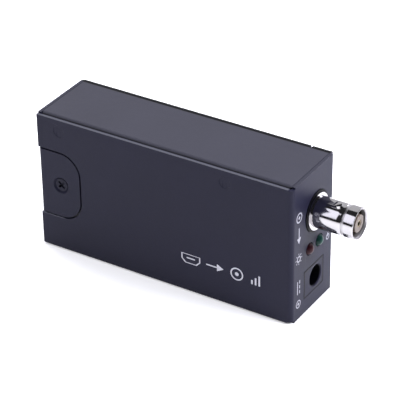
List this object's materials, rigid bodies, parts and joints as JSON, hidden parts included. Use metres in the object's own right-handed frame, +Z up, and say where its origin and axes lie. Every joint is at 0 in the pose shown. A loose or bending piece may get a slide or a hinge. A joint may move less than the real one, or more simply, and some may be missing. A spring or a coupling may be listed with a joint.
{
  "type": "hdmi to sdi converter",
  "caption": "Pocket-sized video signal converter in a folded metal box, with a bayonet coaxial socket, indicator lamps and a power inlet at the right and a flat video socket at the left.",
  "frame": {"origin": "middle of the casing's rectangular footprint, on the plane that it stands on", "axes": "+X along the length towards the coaxial socket, +Y from the front panel with the tab to the back panel, +Z up"},
  "size_m": [0.0995, 0.024, 0.045],
  "materials": {
    "casing_coat": "satin bluish black powder coat",
    "black_steel": "black zinc plate",
    "plated_steel": "zinc plated",
    "board_laminate": "green solder mask on glass laminate",
    "black_moulding": "moulded, slightly glossy",
    "socket_metal": "bright nickel plate",
    "pale_insulator": "pale tan insulating plastic",
    "gold_contact": "gold flash",
    "tinned_metal": "tin plated",
    "red_lens": "diffused lens",
    "green_lens": "diffused lens",
    "chip_moulding": "moulded epoxy",
    "can_aluminium": "drawn can",
    "tan_ceramic": "fired ceramic"
  },
  "bodies": {
    "root": {"front_shell": "casing_coat", "back_shell": "casing_coat", "inner_channel": "casing_coat", "case_screw": "black_steel", "clinch_nut": "plated_steel", "standoffs": "plated_steel", "board_screws": "plated_steel", "circuit_board": "board_laminate", "socket_housing": "black_moulding", "socket_shell": "socket_metal", "socket_insulator": "pale_insulator", "socket_contact": "gold_contact", "socket_legs": "tinned_metal", "lamp_holder": "black_moulding", "lamp_red": "red_lens", "lamp_green": "green_lens", "lamp_leads": "tinned_metal", "inlet_housing": "black_moulding", "inlet_pin": "tinned_metal", "inlet_spring": "tinned_metal", "video_shell": "socket_metal", "video_tongue": "black_moulding", "video_contacts": "gold_contact", "receiver_chip": "chip_moulding", "receiver_leads": "tinned_metal", "controller_chip": "chip_moulding", "controller_leads": "tinned_metal", "converter_chip": "chip_moulding", "driver_chip": "chip_moulding", "capacitor_bases": "black_moulding", "capacitor_cans": "can_aluminium", "inductors": "chip_moulding", "regulators": "chip_moulding", "crystals": "can_aluminium", "surge_arrays": "chip_moulding", "chip_capacitors": "tan_ceramic", "chip_resistors": "chip_moulding"}
  },
  "joints": []
}
